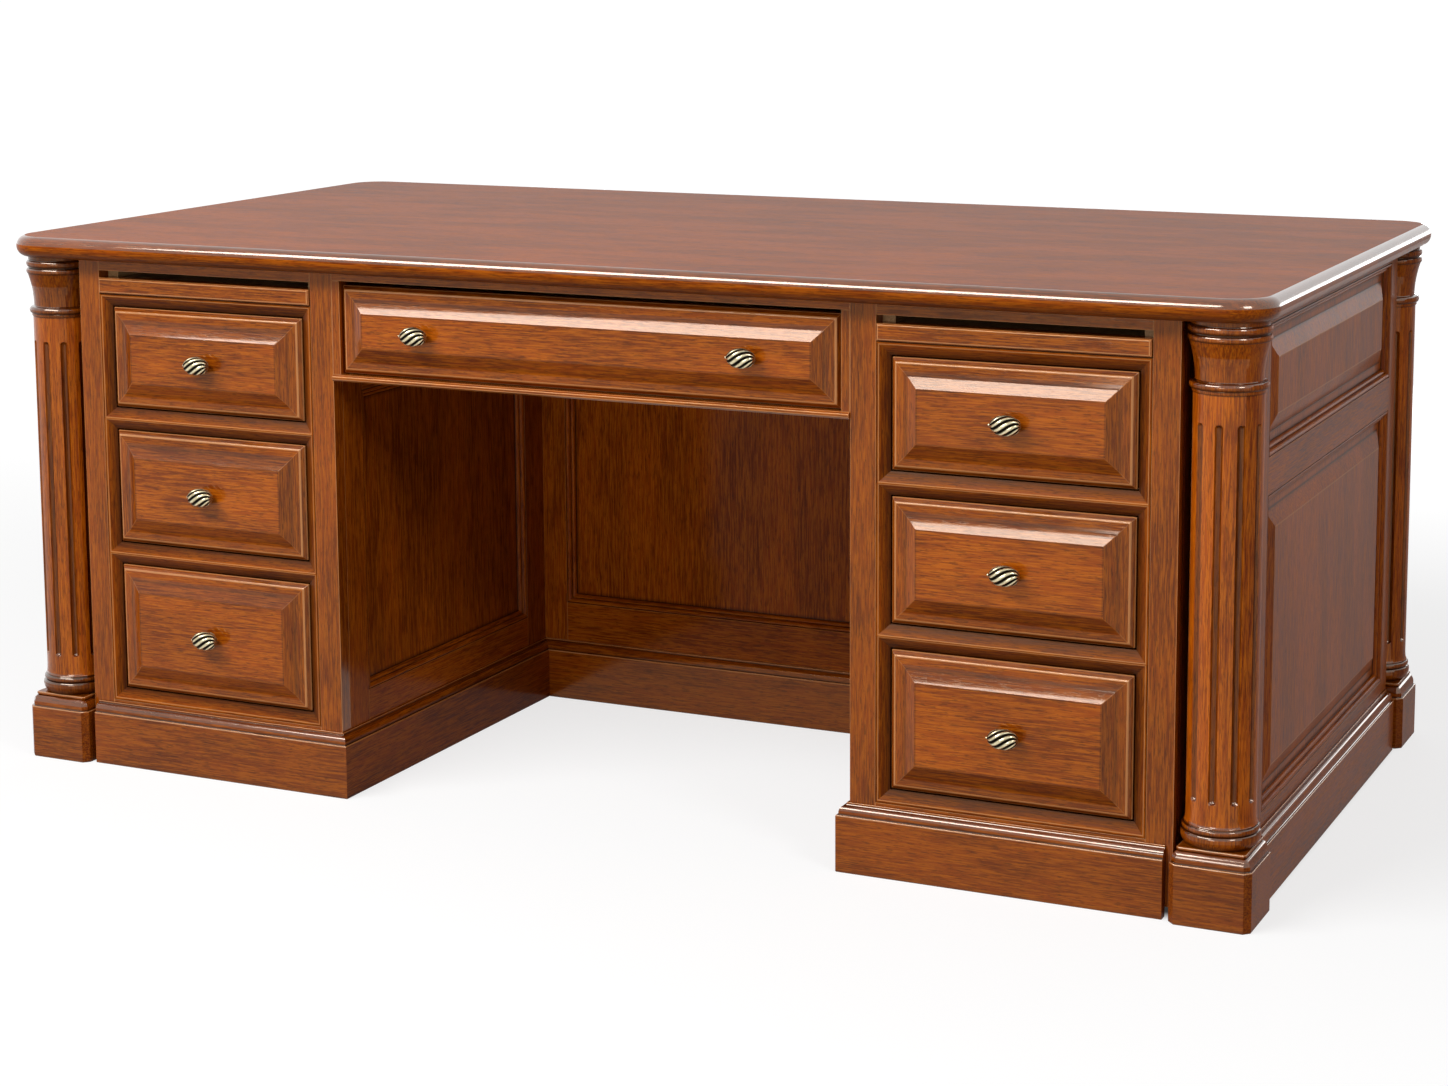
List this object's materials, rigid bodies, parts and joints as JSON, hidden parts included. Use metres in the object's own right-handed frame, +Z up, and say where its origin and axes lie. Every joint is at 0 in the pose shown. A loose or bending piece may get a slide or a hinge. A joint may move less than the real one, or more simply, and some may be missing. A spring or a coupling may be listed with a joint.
{
  "type": "pedestal desk",
  "caption": "Double pedestal executive desk with fluted corner columns, raised-field drawers with swirl knobs, a centre drawer, pull-out writing slides and an open kneehole.",
  "frame": {"origin": "on the floor under the centre of the top", "axes": "+X along the width to the sitter's right, +Y from the sitter's side to the back, +Z up"},
  "size_m": [1.829, 0.966, 0.762],
  "materials": {
    "show_wood": "stained cherry-toned hardwood under satin lacquer",
    "inner_wood": "plain lacquered secondary wood",
    "antique_brass": "antiqued, dark in the recesses"
  },
  "bodies": {
    "desk": {"back_panel_mouldings": "show_wood", "back_panels": "show_wood", "centre_drawer_runners": "inner_wood", "centre_front_rails": "show_wood", "column_blocks": "show_wood", "corner_columns": "show_wood", "corner_posts": "show_wood", "desk_top": "show_wood", "drawer_runners": "inner_wood", "knee_panels": "show_wood", "kneehole_mouldings": "show_wood", "left_back_frame": "show_wood", "left_drawer_moulding": "show_wood", "left_front_frame": "show_wood", "left_inner_case": "inner_wood", "left_knee_frame": "show_wood", "left_plinth": "show_wood", "left_side_frame": "show_wood", "left_side_panels": "show_wood", "modesty_frame": "show_wood", "modesty_panel": "show_wood", "modesty_plinths": "show_wood", "right_back_frame": "show_wood", "right_drawer_moulding": "show_wood", "right_front_frame": "show_wood", "right_inner_case": "inner_wood", "right_knee_frame": "show_wood", "right_plinth": "show_wood", "right_side_frame": "show_wood", "right_side_panels": "show_wood", "side_panel_mouldings": "show_wood", "top_cleats": "inner_wood"},
    "centre_drawer": {"centre_drawer_box": "inner_wood", "centre_drawer_front": "show_wood", "centre_drawer_knobs": "antique_brass"},
    "left_bottom_drawer": {"left_bottom_drawer_box": "inner_wood", "left_bottom_drawer_front": "show_wood", "left_bottom_drawer_knob": "antique_brass"},
    "left_middle_drawer": {"left_middle_drawer_box": "inner_wood", "left_middle_drawer_front": "show_wood", "left_middle_drawer_knob": "antique_brass"},
    "left_writing_slide": {"left_slide_board": "inner_wood", "left_slide_front": "show_wood"},
    "left_top_drawer": {"left_top_drawer_box": "inner_wood", "left_top_drawer_front": "show_wood", "left_top_drawer_knob": "antique_brass"},
    "right_bottom_drawer": {"right_bottom_drawer_box": "inner_wood", "right_bottom_drawer_front": "show_wood", "right_bottom_drawer_knob": "antique_brass"},
    "right_middle_drawer": {"right_middle_drawer_box": "inner_wood", "right_middle_drawer_front": "show_wood", "right_middle_drawer_knob": "antique_brass"},
    "right_writing_slide": {"right_slide_board": "inner_wood", "right_slide_front": "show_wood"},
    "right_top_drawer": {"right_top_drawer_box": "inner_wood", "right_top_drawer_front": "show_wood", "right_top_drawer_knob": "antique_brass"}
  },
  "joints": [
    {"name": "centre_drawer_slide", "type": "slide", "parent": "desk", "child": "centre_drawer", "axis": [0, -1, 0], "range_m": [0, 0.36]},
    {"name": "left_bottom_drawer_slide", "type": "slide", "parent": "desk", "child": "left_bottom_drawer", "axis": [0, -1, 0], "range_m": [0, 0.45]},
    {"name": "left_middle_drawer_slide", "type": "slide", "parent": "desk", "child": "left_middle_drawer", "axis": [0, -1, 0], "range_m": [0, 0.45]},
    {"name": "left_writing_slide_slide", "type": "slide", "parent": "desk", "child": "left_writing_slide", "axis": [0, -1, 0], "range_m": [0, 0.33]},
    {"name": "left_top_drawer_slide", "type": "slide", "parent": "desk", "child": "left_top_drawer", "axis": [0, -1, 0], "range_m": [0, 0.45]},
    {"name": "right_bottom_drawer_slide", "type": "slide", "parent": "desk", "child": "right_bottom_drawer", "axis": [0, -1, 0], "range_m": [0, 0.45]},
    {"name": "right_middle_drawer_slide", "type": "slide", "parent": "desk", "child": "right_middle_drawer", "axis": [0, -1, 0], "range_m": [0, 0.45]},
    {"name": "right_writing_slide_slide", "type": "slide", "parent": "desk", "child": "right_writing_slide", "axis": [0, -1, 0], "range_m": [0, 0.33]},
    {"name": "right_top_drawer_slide", "type": "slide", "parent": "desk", "child": "right_top_drawer", "axis": [0, -1, 0], "range_m": [0, 0.45]}
  ]
}
